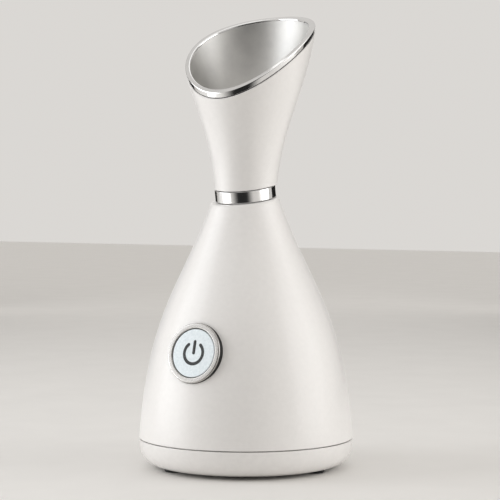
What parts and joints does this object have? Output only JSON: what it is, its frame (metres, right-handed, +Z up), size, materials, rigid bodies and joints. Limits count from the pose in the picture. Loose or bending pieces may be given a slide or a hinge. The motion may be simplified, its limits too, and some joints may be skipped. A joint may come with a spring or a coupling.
{
  "type": "facial steamer",
  "caption": "Bell-shaped facial steamer with a slanted chrome neck ring, a swivelling trumpet nozzle with a slanted open mouth, and a round power button.",
  "frame": {"origin": "centre of the underside of the feet, on the body's vertical axis", "axes": "+Z up along the body's axis, -Y towards the power button and the nozzle's low lip, +X to the right of someone who looks along +Y"},
  "size_m": [0.12, 0.12, 0.255],
  "materials": {
    "white_abs": "satin-gloss injection-moulded white ABS",
    "base_abs": "polished injection-moulded white ABS",
    "black_rubber": "moulded black rubber",
    "zinc_steel": "zinc-plated steel screws",
    "frame_abs": "matte moulded ABS",
    "clear_pp": "translucent polypropylene",
    "silicone": "translucent moulded silicone",
    "cast_aluminium": "die-cast aluminium",
    "black_pps": "glass-filled black plastic",
    "spring_steel": "bright drawn steel",
    "sheet_steel": "stamped sheet steel",
    "heater_alloy": "aluminium-sheathed heating plate",
    "board_laminate": "green glass-fibre board",
    "core_tape": "taped transformer",
    "can_sleeve": "sleeved capacitor can",
    "relay_blue": "moulded relay case",
    "inlet_nylon": "black moulded nylon",
    "pin_brass": "nickel-plated brass pins",
    "bezel_satin": "satin silver-painted ring",
    "button_face": "pale silver painted button",
    "icon_ink": "dark grey printed sign",
    "ring_chrome": "mirror chrome-plated ABS",
    "trim_chrome": "mirror chrome-plated ABS",
    "liner_metal": "satin spun metal liner",
    "coupling_abs": "grey moulded ABS"
  },
  "bodies": {
    "base": {"body_shell": "white_abs", "base_cover": "base_abs", "rubber_feet": "black_rubber", "base_screws": "zinc_steel", "board_screws": "zinc_steel", "boiler_screws": "zinc_steel", "button_screws": "zinc_steel", "inner_frame": "frame_abs", "water_tank": "clear_pp", "steam_tube": "silicone", "water_hose": "silicone", "boiler_gasket": "silicone", "boiler_pot": "cast_aluminium", "boiler_lid": "black_pps", "heater_plate": "heater_alloy", "heater_clamp": "sheet_steel", "sensor_band": "sheet_steel", "thermostat": "black_pps", "thermal_fuse": "spring_steel", "main_board": "board_laminate", "button_board": "board_laminate", "board_transformer": "core_tape", "board_capacitor": "can_sleeve", "board_relay": "relay_blue", "ion_generator": "black_pps", "mains_inlet": "inlet_nylon", "inlet_pins": "pin_brass", "button_bezel": "bezel_satin", "bezel_seal": "black_rubber", "button_carrier": "inlet_nylon", "button_spring": "spring_steel", "tact_switch": "inlet_nylon"},
    "button": {"power_button": "button_face", "power_icon": "icon_ink", "switch_plunger": "inlet_nylon"},
    "head": {"neck_ring": "ring_chrome", "neck_coupling": "coupling_abs", "neck_seal": "silicone"},
    "nozzle": {"nozzle_shell": "white_abs", "nozzle_funnel": "liner_metal", "nozzle_trim": "trim_chrome", "rim_gasket": "black_rubber"}
  },
  "joints": [
    {"name": "button_press", "type": "slide", "parent": "base", "child": "button", "axis": [0, 0.9681, -0.2504], "range_m": [0, 0.001], "stiffness_N_per_m": 1500},
    {"name": "head_lift", "type": "slide", "parent": "base", "child": "head", "axis": [0, -0.1788, 0.9839], "range_m": [0, 0.04]},
    {"name": "nozzle_swivel", "type": "hinge", "parent": "head", "child": "nozzle", "pos_m": [0, 0, 0.1503], "axis": [0, -0.1788, 0.9839], "continuous": true}
  ]
}
